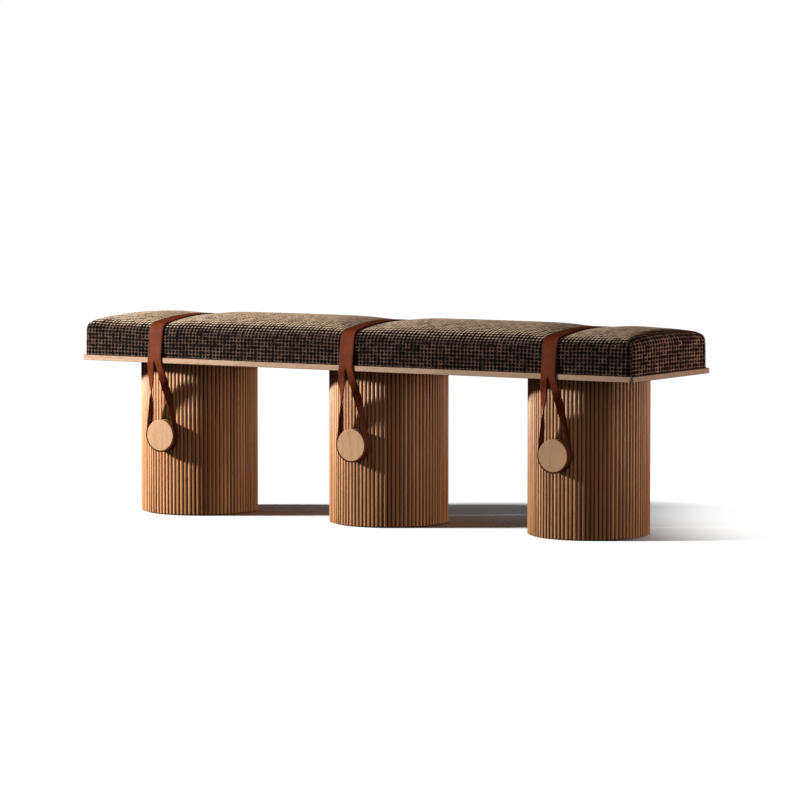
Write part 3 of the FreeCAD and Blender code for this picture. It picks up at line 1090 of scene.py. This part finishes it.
@dataclass
class Straps:
    """Leather straps over the cushion, each modelled as a front and a back half. Lengths are in metres."""

    width: float = 0.037
    thickness: float = 0.0025
    gap: float = 0.0003
    slit_opening: float = 0.0016
    slit_top: float = 0.364
    fold: float = 0.3567
    board_edge: float = 0.183
    board_top: float = BOARD_TOP
    shoulder: float = PAD_SHOULDER
    shoulder_y: float = 0.1535
    shoulder_z: float = 0.4255
    crown_rise: float = 0.013
    twist_length: float = 0.12
    peg_height: float = PEG_HEIGHT
    ring_radius: float = 0.03815
    ring_y: float = -0.154
    edge_round: float = 0.0005
    blend_reach: float = 0.004
    spacing: float = 0.0025
    softening: float = 0.008
    slit_reach: float = 0.006
    columns: int = 4
    crown_points: int = 30
    shoulder_points: int = 12
    corner_points: int = 4
    slit_points: int = 3
    fall_points: int = 30
    ring_points: int = 48
    sharp_angle: float = 50.0
    smooth_angle: float = 60.0

    def band_line(self) -> np.ndarray:
        """Middle line of the leather from the crown of the cushion down to the top of the slit.

        Returns:
            One row of y and z for each point, with the front at -Y.
        """
        off = self.gap + self.thickness / 2
        crown_radius = (self.shoulder_y**2 + self.crown_rise**2) / (2 * self.crown_rise) + self.shoulder
        crown_z = self.shoulder_z + self.shoulder + self.crown_rise - crown_radius
        run_y = self.board_edge - self.shoulder_y
        run_z = self.shoulder_z - self.board_top
        lean = math.atan2(run_z, -run_y) - math.acos(-self.shoulder / math.hypot(run_y, run_z))
        slope = math.atan2(self.shoulder_z - crown_z, self.shoulder_y)
        arcs = [
            ((0.0, crown_z), crown_radius + off, np.linspace(math.pi / 2, slope, self.crown_points)),
            (
                (self.shoulder_y, self.shoulder_z),
                self.shoulder + off,
                np.linspace(slope, lean, self.shoulder_points)[1:],
            ),
            ((self.board_edge, self.board_top), off, np.linspace(lean, 0.0, self.corner_points)),
        ]
        runs = [
            np.column_stack([y + radius * np.cos(turns), z + radius * np.sin(turns)])
            for (y, z), radius, turns in arcs
        ]
        line = np.vstack([*runs, (self.board_edge + off, self.slit_top)])
        return self.softened(line) * (-1, 1)

    def softened(self, line: np.ndarray) -> np.ndarray:
        """Space a line evenly and ease its bends, with its ends kept.

        Args:
            line: Points of the line.

        Returns:
            New points.
        """
        steps = np.linalg.norm(np.diff(line, axis=0), axis=1)
        along = np.concatenate([[0.0], np.cumsum(steps)])
        places = np.linspace(0.0, along[-1], round(along[-1] / self.spacing) + 1)
        reach = np.minimum(np.minimum(places, along[-1] - places), self.softening)
        shares = np.linspace(-1.0, 1.0, 9)
        weights = 1 + np.cos(math.pi * shares * 0.9)
        eased = np.zeros((len(places), line.shape[1]))
        for share, weight in zip(shares, weights / weights.sum()):
            for axis in range(line.shape[1]):
                eased[:, axis] += weight * np.interp(places + share * reach, along, line[:, axis])
        return eased

    def loop_line(self) -> tuple[np.ndarray, np.ndarray]:
        """Middle line of the loop, from the slit down one half, under the peg and up the other half.

        Returns:
            Centres of the leather, and half widths from its inner to its outer edge.
        """
        fold_y = -(self.board_edge + self.gap + self.thickness / 2)
        half = self.width / 4
        fold_x = half + self.slit_opening
        drop = self.fold - self.peg_height
        tilt = math.asin(self.ring_radius / math.hypot(fold_x, drop)) - math.atan2(fold_x, drop)
        meet = (self.ring_radius * math.cos(tilt), self.peg_height + self.ring_radius * math.sin(tilt))
        share = np.linspace(0.0, 1.0, self.fall_points)
        x = fold_x + (meet[0] - fold_x) * share
        y = fold_y + (self.ring_y - fold_y) * (3 * share - share**3) / 2
        z = self.fold + (meet[1] - self.fold) * share
        turned = smoothstep(share * (self.fold - meet[1]) / self.twist_length) * math.pi / 2
        opening = np.linspace(0.0, self.slit_opening, self.slit_points, endpoint=False)
        top = np.linspace(self.slit_top, self.fold, self.slit_points, endpoint=False)
        down = np.vstack([
            np.column_stack([half + opening, np.full(self.slit_points, fold_y), top]),
            np.column_stack([x, y, z]),
        ])
        across = np.vstack([
            np.tile([half, 0.0, 0.0], (self.slit_points, 1)),
            np.column_stack([half * np.cos(turned), half * np.sin(turned), np.zeros(self.fall_points)]),
        ])
        turns = np.linspace(tilt, -math.pi - tilt, self.ring_points + 2)[1:-1]
        ring = np.column_stack([
            self.ring_radius * np.cos(turns),
            np.full(self.ring_points, self.ring_y),
            self.peg_height + self.ring_radius * np.sin(turns),
        ])
        mirror = np.array([-1.0, 1.0, 1.0])
        centres = np.vstack([down, ring, (down * mirror)[::-1]])
        level = np.tile([0.0, half, 0.0], (self.ring_points, 1))
        halves = np.vstack([across, level, (across * mirror)[::-1]])
        return centres, halves

    def lay(self, name: str, columns: int, centres: np.ndarray, halves: np.ndarray) -> Piece:
        """Lay a strip of leather along a line.

        Args:
            name: Name of the strip.
            columns: Number of faces across it.
            centres: Points of the line.
            halves: Way from each point to one edge of the strip.

        Returns:
            The strip, with its edges marked.
        """
        strip = add_grid(name, columns, len(centres) - 1)
        points = points_of(strip)
        column = np.rint((points[:, 0] + 0.5) * columns)
        row = np.rint((points[:, 1] + 0.5) * (len(centres) - 1)).astype(int)
        side = 1 - 2 * column / columns
        set_points(strip, centres[row] + halves[row] * side[:, None])
        edge = strip.data.attributes.new("edge", "FLOAT", "POINT")
        edge.data.foreach_set("value", np.abs(side).astype(np.float32))
        return strip

    def cut(self) -> Piece:
        """Model the front half of the middle strap.

        Returns:
            The half strap, as one piece of leather.
        """
        line = self.band_line()
        centres = np.column_stack([np.zeros(len(line)), line])
        halves = np.tile([self.width / 2, 0.0, 0.0], (len(line), 1))
        band = self.lay("strap", 2 * self.columns, centres, halves)
        loop = self.lay("loop", self.columns, *self.loop_line())
        choose(band, loop)
        bpy.ops.object.join()
        bpy.ops.object.mode_set(mode="EDIT")
        bpy.ops.mesh.select_all(action="SELECT")
        bpy.ops.mesh.remove_doubles(threshold=1e-5)
        bpy.ops.mesh.normals_make_consistent(inside=False)
        bpy.ops.object.mode_set(mode="OBJECT")
        finish_with(band, "SOLIDIFY", thickness=self.thickness, offset=0.0, use_even_offset=True)
        choose(band)
        bpy.ops.object.mode_set(mode="EDIT")
        point_outwards()
        bpy.ops.mesh.select_all(action="DESELECT")
        bpy.ops.mesh.edges_select_sharp(sharpness=math.radians(self.sharp_angle))
        bpy.ops.transform.edge_bevelweight(value=1.0)
        bpy.ops.object.mode_set(mode="OBJECT")
        self.spare_slit(band)
        finish_with(band, "BEVEL", width=self.edge_round, segments=2, limit_method="WEIGHT")
        choose(band)
        bpy.ops.object.shade_smooth_by_angle(angle=math.radians(self.smooth_angle))
        return band

    def spare_slit(self, band: Piece) -> None:
        """Keep the edges at the top of the slit as they were cut, without a round.

        Args:
            band: Half strap with the edges to be rounded marked.
        """
        ends = np.empty(len(band.data.edges) * 2, np.int32)
        band.data.edges.foreach_get("vertices", ends)
        middles = points_of(band)[ends].reshape(-1, 2, 3).mean(axis=1)
        beside = np.abs(middles[:, 0]) < 2 * self.slit_opening
        near = beside & (np.abs(middles[:, 2] - self.slit_top) < self.slit_reach)
        weights = band.data.attributes["bevel_weight_edge"]
        kept = np.empty(len(weights.data), np.float32)
        weights.data.foreach_get("value", kept)
        weights.data.foreach_set("value", np.where(near, 0.0, kept).astype(np.float32))

    def build(self) -> list[Piece]:
        """Make the six half straps.

        Returns:
            The half straps, in place.
        """
        half = self.cut()
        dress(half, LEATHER.material())
        pieces = []
        for side, x in LEG_PLACES.items():
            for face in LoopSide:
                way = face.name.lower()
                placing = Matrix.Translation((x, 0.0, 0.0)) @ Matrix.Rotation(face.value, 4, "Z")
                piece = copy_of(half, f"{side}_strap_{way}", placing)
                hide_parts(f"{side}_strap_band", f"{side}_strap_loop_{way}")
                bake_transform(piece)
                pieces.append(piece)
        bpy.data.objects.remove(half)
        return pieces


@dataclass
class Joinery:
    """Board, pegs and the parts inside the legs, which keep their shapes and get finishes."""

    nodes: dict[str, Piece]

    def build(self) -> list[Piece]:
        """Dress every shown piece of the frame, by what its name ends in.

        Returns:
            The dressed pieces.
        """
        plywood = PLYWOOD.material()
        peg_oak = PEG_OAK.material()
        steel = STEEL.material()
        finishes = {
            "seat_board": BOARD_OAK.material(),
            "peg_front": peg_oak,
            "peg_back": peg_oak,
            "leg_core": plywood,
            "leg_top_plate": plywood,
            "leg_base_plate": plywood,
            "cushion_panel": plywood,
            "leg_glides": FELT.material(),
            "board_screws": steel,
            "peg_screws": steel,
        }
        dressed = []
        for name, node in self.nodes.items():
            for ending, material in finishes.items():
                if name.endswith(ending):
                    dress(node, material)
                    dressed.append(node)
        return dressed


@dataclass(frozen=True)
class Lamp:
    """One light of the studio. Lengths are in metres; the size of a far light or a cone is in degrees.

    A cone is a wash that fades at its rim and throws no shadow.
    """

    name: str
    kind: LampKind
    reach: LampReach
    place: Triple
    size: float
    power: float
    aim: Triple = (0.0, 0.0, 0.0)
    colour: Triple = (1.0, 1.0, 1.0)
    rim: float = 0.3

    def build(self, floor: Piece) -> None:
        """Set the light up.

        Args:
            floor: Floor, which it lights alone or leaves out.
        """
        lamp = bpy.data.lights.new(self.name, self.kind.value)
        lamp.energy = self.power
        lamp.color = self.colour
        if self.kind is LampKind.FAR:
            lamp.angle = math.radians(self.size)
        elif self.kind is LampKind.CONE:
            lamp.spot_size = math.radians(self.size)
            lamp.spot_blend = self.rim
            lamp.use_shadow = False
        else:
            lamp.size = self.size
        light = bpy.data.objects.new(self.name, lamp)
        light.location = self.place
        light.rotation_euler = (Vector(self.aim) - Vector(self.place)).to_track_quat("-Z", "Y").to_euler()
        light.visible_camera = False
        bpy.context.scene.collection.objects.link(light)
        receivers = bpy.data.collections.new(f"{self.name}_receivers")
        receivers.objects.link(floor)
        receivers.collection_objects[0].light_linking.link_state = self.reach.value
        light.light_linking.receiver_collection = receivers


LAMPS = (
    Lamp(
        "key",
        LampKind.PANEL,
        LampReach.BENCH,
        place=(-2.37, -1.5, 1.1),
        size=0.2,
        power=275.0,
        aim=(-0.3, 0.0, 0.3),
        colour=(1.0, 0.965, 0.91),
    ),
    Lamp(
        "fill",
        LampKind.FAR,
        LampReach.BENCH,
        place=(2.4, -1.7, 0.9),
        size=100.0,
        power=1.1,
        colour=(1.0, 0.82, 0.72),
    ),
    Lamp(
        "rim",
        LampKind.PANEL,
        LampReach.BENCH,
        place=(2.2, 1.6, 0.45),
        size=0.4,
        power=42.0,
        aim=(0.3, 0.0, 0.25),
        colour=(1.0, 0.76, 0.6),
    ),
    Lamp("shadow", LampKind.FAR, LampReach.FLOOR, place=(-8.53, -5.225, 3.06), size=9.0, power=11.5),
    Lamp("overhead", LampKind.FAR, LampReach.FLOOR, place=(0.0, 0.0, 8.0), size=60.0, power=0.25),
    Lamp(
        "pool",
        LampKind.CONE,
        LampReach.FLOOR,
        place=(2.12, 1.37, 6.0),
        size=38.3,
        power=1600.0,
        aim=(2.12, 1.37, 0.0),
    ),
)


@dataclass
class Studio:
    """Pale floor, soft studio light and the camera. Lengths are in metres."""

    floor_size: float = 120.0
    fill: float = 0.02
    surround: float = 1.0
    target: Triple = (0.0298, 0.0, 0.2810)
    azimuth: float = 31.5
    elevation: float = 4.3
    distance: float = 9.733
    lens: float = 192.1
    film_width: float = 36.0
    farthest: float = 500.0

    def add_floor(self) -> Piece:
        """Lay the floor.

        Returns:
            The floor.
        """
        deselect()
        bpy.ops.mesh.primitive_plane_add(size=self.floor_size)
        floor = bpy.context.object
        floor.name = "floor"
        bpy.ops.object.mode_set(mode="EDIT")
        bpy.ops.mesh.subdivide(number_cuts=5)
        bpy.ops.object.mode_set(mode="OBJECT")
        dress(floor, FLOOR.material())
        floor.visible_diffuse = False
        floor.visible_glossy = False
        return floor

    def add_surround(self) -> None:
        """Set an even white surround that adds a little fill light."""
        world = bpy.data.worlds.new("surround")
        world.use_nodes = True
        nodes, links = world.node_tree.nodes, world.node_tree.links
        background = nodes["Background"]
        background.inputs["Color"].default_value = (1.0, 1.0, 1.0, 1.0)
        paths = nodes.new("ShaderNodeLightPath")
        level = nodes.new("ShaderNodeMapRange")
        level.inputs["To Min"].default_value = self.fill
        level.inputs["To Max"].default_value = self.surround
        links.new(paths.outputs["Is Camera Ray"], level.inputs["Value"])
        links.new(level.outputs["Result"], background.inputs["Strength"])
        bpy.context.scene.world = world

    def add_camera(self) -> None:
        """Set the camera at the photograph's angle."""
        turn, rise = math.radians(self.azimuth), math.radians(self.elevation)
        back = Vector((math.sin(turn) * math.cos(rise), -math.cos(turn) * math.cos(rise), math.sin(rise)))
        lens = bpy.data.cameras.new("camera")
        lens.lens = self.lens
        lens.sensor_width = self.film_width
        lens.clip_end = self.farthest
        camera = bpy.data.objects.new("camera", lens)
        camera.location = Vector(self.target) + back * self.distance
        camera.rotation_euler = (-back).to_track_quat("-Z", "Y").to_euler()
        bpy.context.scene.collection.objects.link(camera)
        bpy.context.scene.camera = camera

    def build(self) -> None:
        """Set up the whole studio."""
        floor = self.add_floor()
        for lamp in LAMPS:
            lamp.build(floor)
        self.add_surround()
        self.add_camera()
        bpy.context.scene.view_settings.view_transform = "Standard"


def corners(box: tuple[Vector, Vector]) -> list[list[float]]:
    """Lowest and highest corner of a box as plain lists."""
    return [list(corner) for corner in box]


def main() -> None:
    """Build the bench in order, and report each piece."""
    logging.basicConfig(level=logging.INFO, format="%(name)s: %(message)s")
    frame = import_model()
    Studio().build()
    for assembly in (Joinery(frame["nodes"]), ReededSleeves(), Cushion(), Straps()):
        for piece in assembly.build():
            material = piece.data.materials[0].name
            log.info("%s has %d faces and is dressed in %s", piece.name, len(piece.data.polygons), material)


if __name__ == "__main__":
    main()
